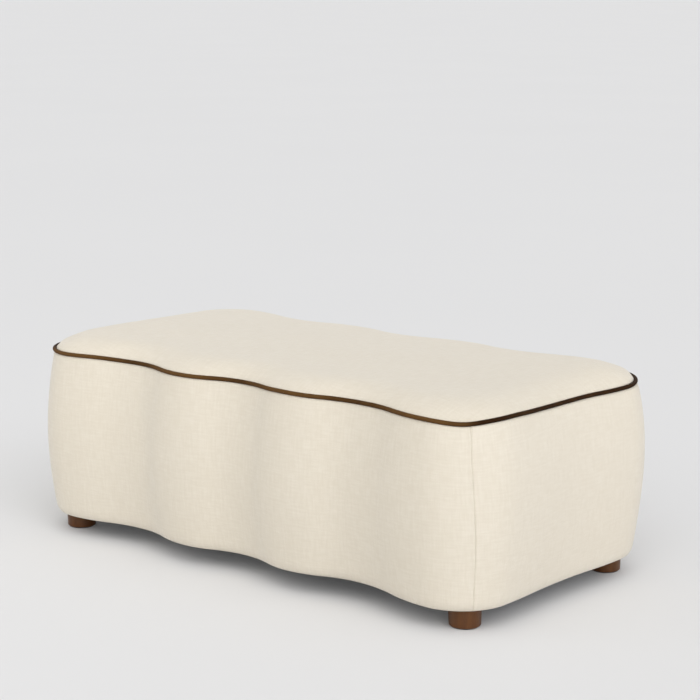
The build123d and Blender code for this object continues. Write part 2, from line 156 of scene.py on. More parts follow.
class OttomanSizes(bpy.types.PropertyGroup):
    """Sizes of the upholstery, the same as the frame's."""

    half_length: length_prop("Half length", "Middle to the piping at the ends", 0.5617)
    lobe_half_depth: length_prop("Half depth", "Middle to the piping on a lobe", 0.288)
    wave_depth: length_prop("Wave depth", "Depth of the valleys between the lobes", 0.0269)
    shoulder_length: length_prop("Shoulder", "From an outer valley to a corner", 0.1781)
    corner_radius: length_prop("Corner radius", "Radius of the piping line there", 0.105)
    end_dip: length_prop("End dip", "Depth of the middle of an end", 0.0065)
    hem_height: length_prop("Hem height", "Floor to the underside of the body", 0.039)
    piping_height: length_prop("Piping height", "Floor to the middle of the piping", 0.375)
    crown_rise: length_prop("Crown rise", "Height of the crown over the piping", 0.0295)
    crown_run: length_prop("Crown run", "Distance over which it rises", 0.105)
    side_swell: length_prop("Side swell", "How far the sides stand out", 0.018)
    hem_tuck: length_prop("Hem tuck", "How far the bottom edge turns in", 0.007)
    hem_roll: length_prop("Hem roll", "Height of that turn", 0.020)
    hem_turn_in: length_prop("Hem turn-in", "Width of cloth under the body", 0.032)
    piping_radius: length_prop("Piping radius", "Radius of the piping", 0.004)
    cover_thickness: length_prop("Cover thickness", "Thickness of the cover cloth", 0.0012)
    wadding_thickness: length_prop("Wadding thickness", "Thickness of the wadding", 0.005)
    layer_gap: length_prop("Layer gap", "Gap between two layers", 0.0003)
    foam_back: length_prop("Foam back", "Piping line to the back of the side foam", 0.0205)
    seat_foam_edge: length_prop("Foam edge", "Height of the seat foam at its edge", 0.040)
    thread_pitch: length_prop("Thread pitch", "Distance between two threads", 0.00062)
    pucker: length_prop("Pucker", "Height of the gathers at the seams", 0.0005)


class OttomanColours(bpy.types.PropertyGroup):
    """Colours of the finishes."""

    linen: colour_prop("Linen", "Cover cloth", (0.80, 0.742, 0.634))
    linen_shade: colour_prop("Linen shade", "Darker threads of the cover cloth", (0.67, 0.60, 0.480))
    piping: colour_prop("Piping", "Leather of the piping", (0.030, 0.012, 0.0035))
    # Painted highlight: the lighter colour of the piping along its front, standing in for light, which its random
    # wear also leans to
    piping_highlight: colour_prop("Rubbed piping", "Leather where the piping is rubbed", (0.138, 0.070, 0.024))
    walnut: colour_prop("Foot wood", "Stained wood of the feet", (0.132, 0.048, 0.0097))
    walnut_dark: colour_prop("Foot grain", "Darker grain of the feet", (0.083, 0.0285, 0.0054))
    backdrop: colour_prop("Backdrop", "Floor and backdrop", (0.782, 0.782, 0.785))


# ---- plan of the body


def step_arc(rise, run):
    """Radius and turn of the two equal arcs that step a line sideways by rise over run."""
    turn = 2 * atan2(rise, run)
    return run / 2 / sin(turn), turn


def loop_arcs(sizes, inset=0.0, calm=1.0):
    """Start point of the outline, in the middle of the front, and its arcs all the way round."""
    length = sizes.half_length - inset
    width = sizes.lobe_half_depth - inset
    corner = sizes.corner_radius * width / sizes.lobe_half_depth
    depth = sizes.wave_depth * calm
    valley = sizes.half_length - sizes.corner_radius - sizes.shoulder_length
    wave, wave_turn = step_arc(depth, valley / 2)
    shoulder, shoulder_turn = step_arc(depth, length - corner - valley)
    end, end_turn = step_arc(sizes.end_dip * calm, width - corner)
    quarter = [(wave, -wave_turn), (wave, 2 * wave_turn), (wave, -wave_turn)]
    quarter += [(shoulder, -shoulder_turn), (shoulder, shoulder_turn)]
    quarter += [(corner, pi / 2), (end, end_turn), (end, -end_turn)]
    return (0.0, depth - width), (quarter + quarter[::-1]) * 2


def arc_lengths(sizes):
    """Lengths of the outline's arcs."""
    return [radius * abs(turn) for radius, turn in loop_arcs(sizes)[1]]


def marks_at(sizes, distances):
    """Marks at distances from the front's middle: an arc's number, the share along it, and the distance."""
    ends = np.cumsum(arc_lengths(sizes))
    wrapped = np.mod(distances, ends[-1])
    number = np.minimum(np.searchsorted(ends, wrapped, side="right"), len(ends) - 1)
    starts = np.concatenate(([0.0], ends[:-1]))
    return number, (wrapped - starts[number]) / (ends[number] - starts[number]), wrapped


def seam_distances(sizes):
    """Distances along the outline of the four corner seams, and the whole length."""
    lengths = arc_lengths(sizes)
    quarter = sum(lengths[:ARCS_IN_QUARTER])
    first = sum(lengths[:CORNER_ARC]) + lengths[CORNER_ARC] / 2
    return (first, 2 * quarter - first, 2 * quarter + first, 4 * quarter - first), 4 * quarter


def panel_ends(sizes):
    """Distances along the outline at which each side's panel starts and ends."""
    seams, around = seam_distances(sizes)
    starts = (seams[3] - around, *seams)
    return dict(zip(("front", "right", "back", "left"), zip(starts, seams)))


def round_marks(sizes, count):
    """Distances all the way round the outline, and their marks, of which the last is the first."""
    distances = np.linspace(0, seam_distances(sizes)[1], count)
    marks = marks_at(sizes, distances[:-1])
    return distances, tuple(np.append(values, values[0]) for values in marks)


def plan(sizes, marks, inset=0.0, calm=1.0):
    """Points of the outline at the marks, and the outward direction at each."""
    (x, y), arcs = loop_arcs(sizes, inset, calm)
    rows, heading = [], 0.0
    for radius, turn in arcs:
        side = copysign(radius, turn)
        rows.append((x - side * sin(heading), y + side * cos(heading), side, heading, turn))
        heading += turn
        x = rows[-1][0] + side * sin(heading)
        y = rows[-1][1] - side * cos(heading)
    number, share, _ = marks
    centre_x, centre_y, side, start, turn = np.array(rows)[number].T
    angle = start + turn * share
    points = np.stack((centre_x + side * np.sin(angle), centre_y - side * np.cos(angle)), axis=1)
    outward = np.stack((np.sin(angle), -np.cos(angle)), axis=1)
    return points, outward


def spaced(start, end, step, fine=0.0005, run=0.03):
    """Distances from start to end about a step apart, and closer within a run of both ends."""
    near = [fine]
    while near[-1] < run and len(near) < int(run / fine):
        near.append(near[-1] + min(step, fine + near[-1] * 0.25))
    middle = np.linspace(start + near[-1], end - near[-1], max(2, round((end - start - 2 * near[-1]) / step)))
    low = [start, *(start + distance for distance in near[:-1])]
    high = [*(end - distance for distance in reversed(near[:-1])), end]
    return np.concatenate((low, middle, high))


def swell(sizes, height):
    """How far the cover's outer face stands out past the piping line, without the turn at its hem."""
    share = np.clip((height - sizes.hem_height) / (sizes.piping_height - sizes.hem_height), 0, 1)
    return sizes.side_swell * np.sin(pi * share**SWELL_LIFT) ** SWELL_FULLNESS


# ---- rings and lofts


# A ring at a height, offset outwards from the piping line (grow) or inwards (inset). Calm is its share of the
# waves, spine its share of the way to the middle line, and give its share of the lifts.
Ring = namedtuple("Ring", "height grow inset calm spine give", defaults=(0.0, 1.0, 0.0, 1.0))


def crown_ring(sizes, inset, layer=0.0):
    """Ring of the crown at an inset, a layer inside the cover's outer face."""
    left = max(0.0, 1 - inset / sizes.crown_run)
    height = sizes.piping_height + sizes.crown_rise * (1 - left**CROWN_FULLNESS)
    lean = atan(CROWN_FULLNESS * sizes.crown_rise / sizes.crown_run * left ** (CROWN_FULLNESS - 1))
    calm = 1 - WAVE_FADE * min(1.0, inset / sizes.crown_run)
    return Ring(height - layer * cos(lean), 0.0, inset + layer * sin(lean), calm)


def spine_ring(sizes, height, share, layer=0.0):
    """Ring between the crown's inner edge and the middle line of the top."""
    return crown_ring(sizes, sizes.crown_run, layer)._replace(height=height, spine=share)


def lifts_along(sizes, distances, lifts):
    """Sum of the lifts at distances along the outline."""
    around = seam_distances(sizes)[1]
    total = np.zeros(len(distances))
    for place, spread, lift in lifts:
        away = np.mod(distances - place + around / 2, around) - around / 2
        total += lift * np.exp(-((away / spread) ** 2) / 2)
    return total


def smooth_share(value, low, high):
    """Share of the way from low to high, eased at both ends."""
    share = min(1.0, max(0.0, (value - low) / (high - low)))
    return share * share * (3 - 2 * share)


def settled_heights(sizes, points, distances, ring):
    """Heights of a ring's points once the upholstery has settled unevenly."""
    height, inset = ring.height, ring.inset
    lift = lifts_along(sizes, distances, SEAM_LIFTS)
    if inset > 0 or ring.spine:
        lift = lift * exp(-inset / SEAM_REACH) * (1 - ring.spine)
        reach = min(1.0, inset / CROWN_REACH)
        away = max(0.0, inset - sizes.piping_radius - sizes.layer_gap) / LIP_REACH
        steep = away * exp(1 - away) * (1 - ring.spine)
        lift = lift + steep * lifts_along(sizes, distances, LIP_LIFTS)
        for x, y, spread_x, spread_y, rise in CROWN_LIFTS:
            away = ((points[:, 0] - x) / spread_x) ** 2 + ((points[:, 1] - y) / spread_y) ** 2
            lift = lift + reach * rise * np.exp(-away / 2)
    else:
        lift = lift * smooth_share(height, *SEAM_FADE)
        under = exp(min(0.0, ring.grow + sizes.hem_tuck) / HEM_REACH)
        low = 1 - smooth_share(height, sizes.hem_height, HEM_FADE)
        lift = lift + lifts_along(sizes, distances, HEM_LIFTS) * low * under
    return height + ring.give * lift


def ring_points(sizes, marks, ring):
    """Points of a ring at the marks."""
    height, inset = ring.height, ring.inset
    points, outward = plan(sizes, marks, inset, ring.calm)
    grow = np.full(len(points), ring.grow)
    towards = outward @ FULL_CORNER
    room = max(0.0, sizes.piping_height - sizes.piping_radius - height)
    if ring.grow > -sizes.foam_back:
        if inset == 0:
            fuller = exp(-(((height - FULL_HEIGHT) / FULL_SPREAD) ** 2) / 2) * (1 - exp(-room / FULL_END))
            grow += FULLER_BY * fuller * towards**3
        if ring.give:
            pinch = CORNER_PINCH * exp(-room / PINCH_DOWN - inset / PINCH_IN) * (1 - ring.spine)
            grow -= pinch * np.maximum(0.0, -towards) ** 3
    points = points + outward * grow[:, None]
    if ring.spine:
        half = sizes.half_length - sizes.lobe_half_depth
        middle = np.stack((np.clip(points[:, 0], -half, half), np.zeros(len(points))), axis=1)
        points = points + (middle - points) * ring.spine
    return np.column_stack((points, settled_heights(sizes, points, marks[2], ring)))


def lay(sizes, marks, rings):
    """Points of several rings, row by row."""
    return np.array([ring_points(sizes, marks, ring) for ring in rings])


def loft(columns, distances, planar=False):
    """Bmesh over a grid of points, columns[row, column], with a weave map in metres."""
    rows, across = len(columns), len(columns[0])
    bm = bmesh.new()
    bmesh.ops.create_grid(bm, x_segments=across - 1, y_segments=rows - 1, size=1)
    layer = bm.loops.layers.uv.new("weave")
    up = np.concatenate(([0.0], np.cumsum(np.linalg.norm(np.diff(columns[:, across // 2], axis=0), axis=1))))
    place = {}
    for vert in bm.verts:
        column = round((vert.co.x + 1) / 2 * (across - 1))
        row = round((vert.co.y + 1) / 2 * (rows - 1))
        vert.co = columns[row, column]
        place[vert] = (vert.co.x, vert.co.y) if planar else (distances[column], up[row])
    for face in bm.faces:
        for corner in face.loops:
            corner[layer].uv = place[corner.vert]
    return bm


def add_object(name, data):
    """A new object in the scene."""
    item = bpy.data.objects.new(name, data)
    bpy.context.scene.collection.objects.link(item)
    return item


def mesh_object(name, bm):
    """A new object over a bmesh, which is freed."""
    mesh = bpy.data.meshes.new(name)
    bm.to_mesh(mesh)
    bm.free()
    return add_object(name, mesh)


def inflate(context, columns, distances, step, held, give):
    """Moves a cover's points as a coarse copy of it settles, held along its seams and inflated by simulation."""
    across = np.unique(np.append(np.arange(0, columns.shape[1], step), columns.shape[1] - 1))
    coarse = columns[:, across]
    bm = loft(coarse, distances[across])
    bmesh.ops.remove_doubles(bm, verts=bm.verts, dist=10 * SAME_PLACE)
    trial = mesh_object("trial", bm)
    mesh = trial.data
    before = np.array([vert.co for vert in mesh.vertices])
    finder = KDTree(len(before))
    for index, place in enumerate(before):
        finder.insert(place, index)
    finder.balance()
    owners = np.array([[finder.find(point)[1] for point in row] for row in coarse])
    seam = trial.vertex_groups.new(name="seam")
    seam.add([int(index) for index in np.unique(owners[held[:, across]])], 1.0, "REPLACE")
    cloth = trial.modifiers.new("inflate", "CLOTH").settings
    cloth.use_pressure = True
    cloth.uniform_pressure_force = CLOTH_PRESSURE
    cloth.effector_weights.gravity = 0
    cloth.vertex_group_mass = "seam"
    cloth.shrink_min = cloth.shrink_max = -CLOTH_EASE
    for number in range(1, CLOTH_FRAMES + 1):
        context.scene.frame_set(number)
    result = trial.evaluated_get(context.evaluated_depsgraph_get()).to_mesh()
    moved = np.array([vert.co for vert in result.vertices]) - before
    trial.to_mesh_clear()
    context.scene.frame_set(1)
    bpy.data.objects.remove(trial)
    bpy.data.meshes.remove(mesh)
    moved *= min(1.0, give / float(np.linalg.norm(moved, axis=1).max()))
    at = np.arange(columns.shape[1])
    spread = np.empty_like(columns)
    for row, indices in enumerate(owners):
        for axis in range(3):
            spread[row, :, axis] = np.interp(at, across, moved[indices, axis])
    return columns + spread


def finish_piece(name, bm, material, replaces, merge=True, thickness=0.0):
    """Turns a bmesh into a piece that rides on the frame, in place of the node that it stands for."""
    if merge:
        bmesh.ops.remove_doubles(bm, verts=bm.verts, dist=SAME_PLACE)
    piece = mesh_object(name, bm)
    piece.data.polygons.foreach_set("use_smooth", [True] * len(piece.data.polygons))
    piece.data.materials.append(material)
    if thickness:
        wall = piece.modifiers.new("wall", "SOLIDIFY")
        wall.thickness = thickness
        wall.offset = -1
    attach(piece, "root")
    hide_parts(replaces)
    return piece


def repaint(node, material):
    """Gives a node of the frame a material."""
    node.data.materials.clear()
    node.data.materials.append(material)


def finish_pad(side, kind, columns, distances, material):
    """Makes a closed pad of foam or wadding over a grid of points, and rounds its edges."""
    bm = loft(columns, distances)
    bmesh.ops.remove_doubles(bm, verts=bm.verts, dist=SAME_PLACE)
    open_edges = [edge for edge in bm.edges if edge.is_boundary]
    if open_edges:
        bmesh.ops.holes_fill(bm, edges=open_edges, sides=0)
    bmesh.ops.recalc_face_normals(bm, faces=bm.faces)
    name = f"{side}_{kind}"
    piece = finish_piece(f"{name}_pad", bm, material, name)
    edge = piece.modifiers.new("soft_edge", "BEVEL")
    edge.width = PAD_EDGE
    edge.segments = 2
    edge.angle_limit = radians(50)


# ---- materials


def add_node(tree, kind, values=None, **settings):
    """A shader node with its settings, and its inputs set or linked."""
    node = tree.nodes.new("ShaderNode" + kind)
    for name, value in settings.items():
        setattr(node, name, value)
    for socket, value in (values or {}).items():
        if isinstance(value, bpy.types.NodeSocket):
            tree.links.new(value, node.inputs[socket])
        else:
            node.inputs[socket].default_value = value
    return node


def start_material(name, **sockets):
    """A material with plain values on its Principled shader, and its node tree."""
    material = bpy.data.materials.new(name)
    material.use_nodes = True
    tree = material.node_tree
    for socket, value in sockets.items():
        tree.nodes["Principled BSDF"].inputs[socket.replace("_", " ")].default_value = value
    return material, tree


def rgba(colour, factor=1.0):
    """The colour times a factor, with its alpha."""
    return (*(min(1.0, channel * factor) for channel in colour), 1.0)


def stretched(tree, vector, scales):
    """The vector, scaled by its own amount along each axis."""
    return add_node(tree, "Mapping", {"Vector": vector, "Scale": scales}).outputs["Vector"]


def noise_value(tree, vector, scale, detail=2.0, roughness=0.5):
    """Value of a noise texture, with one scale or one for each axis."""
    if isinstance(scale, tuple):
        vector, scale = stretched(tree, vector, scale), 1.0
    values = {"Vector": vector, "Scale": scale, "Detail": detail, "Roughness": roughness}
    return add_node(tree, "TexNoise", values).outputs["Fac"]


def remap(tree, value, low, high, to_low=0.0, to_high=1.0):
    """The value, mapped from one range to another and clamped."""
    values = {"Value": value, "From Min": low, "From Max": high, "To Min": to_low, "To Max": to_high}
    return add_node(tree, "MapRange", values).outputs["Result"]


def combine(tree, operation, first, second):
    """Result of a sum on two values or sockets."""
    return add_node(tree, "Math", {0: first, 1: second}, operation=operation).outputs[0]


def mixed(tree, first, second, factor, *ranges):
    """Mix of two colours, by a factor that is first mapped where its ranges are given."""
    if ranges:
        factor = remap(tree, factor, *ranges)
    return add_node(tree, "Mix", {0: factor, 6: first, 7: second}, data_type="RGBA").outputs[2]


def finish_material(material, colour, height, distance, strength, roughness=None):
    """Links a colour, a bump of a height, and a roughness to the material's shader."""
    tree = material.node_tree
    inputs = tree.nodes["Principled BSDF"].inputs
    bump = add_node(tree, "Bump", {"Height": height, "Distance": distance, "Strength": strength})
    tree.links.new(colour, inputs["Base Color"])
    tree.links.new(bump.outputs["Normal"], inputs["Normal"])
    if roughness is not None:
        tree.links.new(roughness, inputs["Roughness"])
    return material


def object_place(tree):
    """Place on the piece, in its own coordinates."""
    return add_node(tree, "TexCoord").outputs["Object"]


def linen_material(sizes, colours):
    """Cream linen: a plain weave with slubs along both thread directions, and painted shade in the gaps between its
    threads.
    """
    material, tree = start_material(
        "linen", Roughness=0.85, Specular_IOR_Level=0.22, Sheen_Weight=0.42, Sheen_Roughness=0.35
    )
    cloth = add_node(tree, "UVMap", uv_map="weave").outputs["UV"]
    bands = 2 * pi / 20 / sizes.thread_pitch
    values = {"Vector": cloth, "Scale": bands, "Distortion": 1.6, "Detail": 1.0, "Detail Scale": 0.12}
    threads = [add_node(tree, "TexWave", values, bands_direction=way).outputs["Fac"] for way in ("X", "Y")]
    crossing = combine(tree, "MULTIPLY", *threads)
    patch = noise_value(tree, cloth, 7.0)

    def unevenness(warp, weft, high):
        """Thick and thin places along the threads of both directions."""
        values = [remap(tree, noise_value(tree, cloth, scales), 0.3, high) for scales in (warp, weft)]
        return combine(tree, "ADD", *values)

    slubs = unevenness((720, 22, 1), (26, 820, 1), 0.75)
    broad = unevenness((210, 30, 1), (34, 230, 1), 0.7)
    total = combine(tree, "ADD", combine(tree, "MULTIPLY", slubs, 0.21), combine(tree, "MULTIPLY", broad, 0.33))
    colour = mixed(tree, rgba(colours.linen), rgba(colours.linen_shade), total, 0.35, 0.85, 0.42, 0.0)
    colour = mixed(tree, colour, rgba(colours.linen_shade), patch, 0.3, 0.7, 0.0, 0.10)
    # Painted shade: the gaps between the threads, where the weave lies lower, are darkened
    colour = mixed(tree, colour, rgba(colours.linen_shade, 0.75), crossing, 0.0, 0.35, 0.20, 0.0)
    height = combine(tree, "ADD", combine(tree, "MULTIPLY", crossing, 0.6), combine(tree, "MULTIPLY", slubs, 0.5))
    return finish_material(material, colour, height, 0.00022, 0.8)


def piping_material(colours):
    """Dark brown leather with a fine grain, a soft gloss, and a painted highlight that makes it lighter along its
    front.
    """
    material, tree = start_material("piping_leather", Specular_IOR_Level=0.03)
    place = object_place(tree)
    painted_highlight = add_node(tree, "Attribute", attribute_name="painted_highlight").outputs["Fac"]
    cells = add_node(tree, "TexVoronoi", {"Vector": place, "Scale": 900.0}, feature="DISTANCE_TO_EDGE")
    grain = remap(tree, cells.outputs["Distance"], 0.0, 0.25)
    wear = noise_value(tree, place, 38.0, detail=3)
    # Painted highlight along the front of the piping, plus random wear: mixed towards the lighter colour
    highlit_and_rubbed = combine(tree, "ADD", painted_highlight, remap(tree, wear, 0.3, 0.7, -0.15, 0.15))
    colour = mixed(tree, rgba(colours.piping), rgba(colours.piping_highlight), highlit_and_rubbed)
    colour = mixed(tree, colour, rgba(colours.piping, 0.45), grain, 0.0, 1.0, 0.35, 0.0)
    return finish_material(material, colour, grain, 0.00012, 0.7, remap(tree, wear, 0.3, 0.7, 0.46, 0.58))


def wood_material(name, light, dark, scale, roughness, rings):
    """Wood with rings, fibres and pores that run upwards."""
    material, tree = start_material(name, Specular_IOR_Level=0.35)
    place = object_place(tree)
    upwards = 0.09
    fibres = noise_value(tree, place, (scale, scale, scale * upwards), detail=4, roughness=0.6)
    values = {"Scale": rings, "Distortion": 5.0, "Detail": 3.0, "Detail Scale": 1.2}
    values["Vector"] = stretched(tree, place, (1, 1, upwards))
    wave = add_node(tree, "TexWave", values).outputs["Fac"]
    fine = 9 * scale
    pores = noise_value(tree, place, (fine, fine, fine * upwards * upwards))
    mix = combine(tree, "ADD", combine(tree, "MULTIPLY", fibres, 0.8), combine(tree, "MULTIPLY", wave, 0.16))
    colour = mixed(tree, rgba(dark), rgba(light), mix, 0.25, 0.8)
    colour = mixed(tree, colour, rgba(dark, 0.6), pores, 0.56, 0.72, 0.0, 0.5)
    height = combine(tree, "SUBTRACT", mix, remap(tree, pores, 0.56, 0.72, 0.0, 0.6))
    return finish_material(material, colour, height, 0.00012, 0.6, remap(tree, mix, 0.3, 0.8, *reversed(roughness)))


def plywood_material(name, light, dark, layer, upright=False):
    """Plywood: thin veneers in two tones through the thickness, with face grain along X."""
    material, tree = start_material(name, Specular_IOR_Level=0.25)
    place = object_place(tree)
    parts = add_node(tree, "SeparateXYZ", {"Vector": place})
    across = parts.outputs["Z"]
    if upright:
        across = combine(tree, "ADD", parts.outputs["X"], parts.outputs["Y"])
    stack = combine(tree, "PINGPONG", across, layer)
    veneer = remap(tree, stack, layer * 0.42, layer * 0.58)
    grain = noise_value(tree, place, (26, 300, 300), detail=4, roughness=0.65)
    end_grain = noise_value(tree, place, (500, 500, 900))
    colour = mixed(tree, rgba(dark), rgba(light), grain, 0.3, 0.7)
    layered = mixed(tree, colour, rgba(dark, 0.75), combine(tree, "MULTIPLY", veneer, 0.45))
    layered = mixed(tree, layered, rgba(dark, 0.7), end_grain, 0.4, 0.7, 0.0, 0.25)
    roughness = remap(tree, grain, 0.3, 0.7, 0.75, 0.6)
    return finish_material(material, layered, combine(tree, "ADD", grain, end_grain), 0.00015, 0.5, roughness)


def steel_material():
    """Zinc-plated steel: fine brushing, faint yellow passivation and darker spots."""
    material, tree = start_material("zinc_steel", Metallic=1.0)
    place = object_place(tree)
    brushed = noise_value(tree, place, (1800, 1800, 240))
    tint = noise_value(tree, place, 90.0)
    colour = mixed(tree, (0.62, 0.60, 0.55, 1), (0.50, 0.50, 0.52, 1), tint, 0.35, 0.7)
    return finish_material(material, colour, brushed, 0.00004, 0.5, remap(tree, brushed, 0.3, 0.7, 0.26, 0.42))


def fibre_material(name, light, dark, scale, depth, sheen=0.3):
    """Matted fibres, for wadding and felt."""
    material, tree = start_material(name, Roughness=0.95, Specular_IOR_Level=0.12, Sheen_Weight=sheen)
    place = object_place(tree)
    fibres = noise_value(tree, place, scale, detail=5, roughness=0.75)
    tufts = add_node(tree, "TexVoronoi", {"Vector": place, "Scale": scale * 0.4}).outputs["Distance"]
    height = combine(tree, "ADD", fibres, combine(tree, "MULTIPLY", tufts, 0.5))
    # Darker where the fibres and tufts lie lower: partly random tone, partly painted shade in the hollows between
    # them
    colour = mixed(tree, rgba(dark), rgba(light), height, 0.4, 0.95)
    return finish_material(material, colour, height, depth, 0.8)


def foam_material():
    """Cream polyurethane foam with open cells, with painted shade in the hollows of the cells."""
    material, tree = start_material("foam", Roughness=0.92, Specular_IOR_Level=0.15)
    place = object_place(tree)
    cells = add_node(tree, "TexVoronoi", {"Vector": place, "Scale": 620.0}, feature="DISTANCE_TO_EDGE")
    wall = remap(tree, cells.outputs["Distance"], 0.0, 0.3)
    tone = noise_value(tree, place, 14.0)
    colour = mixed(tree, (0.78, 0.70, 0.47, 1), (0.85, 0.78, 0.58, 1), tone, 0.3, 0.7)
    # Painted shade: the hollows inside the cells, where the surface lies lower, are darkened
    colour = mixed(tree, colour, (0.55, 0.46, 0.27, 1), wall, 0.0, 1.0, 0.0, 0.35)
    return finish_material(material, colour, combine(tree, "SUBTRACT", 1.0, wall), 0.0003, 0.7)


def cord_material():
    """White cotton filler cord with a slanting twist."""
    material, tree = start_material("cotton_cord", Roughness=0.9, Specular_IOR_Level=0.15, Sheen_Weight=0.2)
    place = object_place(tree)
    values = {"Vector": place, "Scale": 110.0, "Distortion": 0.6}
    twist = add_node(tree, "TexWave", values, bands_direction="DIAGONAL").outputs["Fac"]
    fibres = noise_value(tree, place, 1500.0, detail=3)
    colour = mixed(tree, (0.55, 0.52, 0.46, 1), (0.82, 0.80, 0.74, 1), twist, 0.0, 0.6)
    return finish_material(material, colour, combine(tree, "ADD", twist, fibres), 0.0003, 0.8)


def dust_cloth_material():
    """Black non-woven cloth with its pressed dot pattern."""
    material, tree = start_material("dust_cloth", Roughness=0.82, Specular_IOR_Level=0.25, Sheen_Weight=0.15)
    place = object_place(tree)
    dots = add_node(tree, "TexVoronoi", {"Vector": place, "Scale": 480.0, "Randomness": 0.05}).outputs["Distance"]
    pressed = remap(tree, dots, 0.15, 0.4)
    fibres = noise_value(tree, place, 900.0, detail=4, roughness=0.7)
    colour = mixed(tree, (0.010, 0.010, 0.011, 1), (0.030, 0.030, 0.033, 1), fibres, 0.35, 0.7)
    colour = mixed(tree, colour, (0.006, 0.006, 0.007, 1), pressed, 0.0, 1.0, 0.4, 0.0)
    height = combine(tree, "ADD", pressed, combine(tree, "MULTIPLY", fibres, 0.5))
    return finish_material(material, colour, height, 0.00012, 0.7)


# ---- operators


def finish_cover(scene, side, bm):
    """Finishes a cover of the linen, with the thickness of the cloth inwards."""
    name, thickness = f"{side}_cover", scene.ottoman_sizes.cover_thickness
    linen = bpy.data.materials.get("linen") or linen_material(scene.ottoman_sizes, scene.ottoman_colours)
    finish_piece(f"{name}_cloth", bm, linen, name, thickness=thickness)


def covers_profile(sizes):
    """Heights and offsets of a side cover, from its turned-in edge over the hem to the piping seam."""
    hem, tuck = sizes.hem_height, sizes.hem_tuck
    rings = [(hem, -tuck - sizes.hem_turn_in * share) for share in (1.0, 0.75, 0.5, 0.3, 0.15, 0.05)]
    for step in range(HEM_STEPS + 1):
        angle = pi / 2 * step / HEM_STEPS
        height = hem + sizes.hem_roll * (1 - cos(angle))
        rings.append((height, swell(sizes, height) - tuck * (1 - sin(angle))))
    reach = sizes.piping_radius + sizes.layer_gap
    for height in np.linspace(hem + sizes.hem_roll, sizes.piping_height - reach, SIDE_RINGS)[1:]:
        rings.append((height, swell(sizes, height)))
    for degrees in SIDE_CURL:
        angle = radians(degrees)
        rings.append((sizes.piping_height + reach * sin(angle), reach * cos(angle)))
    return rings


def seam_bow(distances, ends, height, towards):
    """Shift of a panel's threads along the outline, because the corner seams bow towards the end panels."""
    low_bow, high_bow, spread = 0.0105, 0.0027, 0.06
    bow = low_bow - (low_bow - high_bow) * smooth_share(height, 0.12, 0.36)
    near_start, near_end = (np.exp(-(((distances - end) / spread) ** 2)) for end in ends)
    return towards * bow * (near_start - near_end)


def dressed_side(sizes, distances, ends, towards, seed):
    """Points of a side cover with its seam lips, hem and small gathers."""
    rings = covers_profile(sizes)
    rows = [marks_at(sizes, distances + seam_bow(distances, ends, height, towards)) for height, _ in rings]
    columns = np.array([ring_points(sizes, marks, Ring(*ring)) for marks, ring in zip(rows, rings)])
    outward = plan(sizes, rows[len(rows) // 2])[1]
    from_seam = np.minimum(distances - ends[0], ends[1] - distances)
    # The cloth stands up beside a corner seam and sinks into it
    lip = LIP_HEIGHT * np.exp(-(((from_seam - LIP_PLACE) / LIP_WIDTH) ** 2))
    lip -= GROOVE_DEPTH * np.exp(-((from_seam / GROOVE_WIDTH) ** 2))
    for row, (height, _) in enumerate(rings):
        if row < TURNED_IN or height > sizes.piping_height - sizes.piping_radius - 10 * SAME_PLACE:
            continue
        below_piping = sizes.piping_height - height
        above_hem = height - sizes.hem_height
        for column, distance in enumerate(distances):
            gather = noise.noise((distance * 95, height * 18, seed)) * exp(-below_piping / 0.016)
            gather += 0.8 * noise.noise((distance * 60, height * 12, seed + 9)) * exp(-above_hem / 0.02)
            ease = 0.9 * noise.noise((distance * 4.5, height * 7, seed + 3))
            tug = noise.noise((height * 70, seed + 5, distance * 3)) * exp(-from_seam[column] / 0.008)
            lift = sizes.pucker * (gather + ease + 0.5 * tug) + lip[column]
            columns[row, column, :2] += outward[column] * lift
    return columns


class OTTOMAN_OT_side_covers(bpy.types.Operator):
    """Sew the four side covers, from corner seam to corner seam"""

    bl_idname = "ottoman.side_covers"
    bl_label = "Side Covers"

    def execute(self, context):
        sizes = context.scene.ottoman_sizes
        for number, (side, ends) in enumerate(panel_ends(sizes).items()):
            distances = spaced(*ends, SIDE_STEP)
            towards = 1 if side in ("left", "right") else -1
            columns = dressed_side(sizes, distances, ends, towards, number * 31.7)
            held = np.zeros(columns.shape[:2], bool)
            # The turned-in edge, the edge at the piping and both corner seams
            held[:10] = held[-6:] = held[:, :2] = held[:, -2:] = True
            columns = inflate(context, columns, distances, 4, held, SIDE_GIVE)
            finish_cover(context.scene, side, loft(columns, distances))
        return {"FINISHED"}


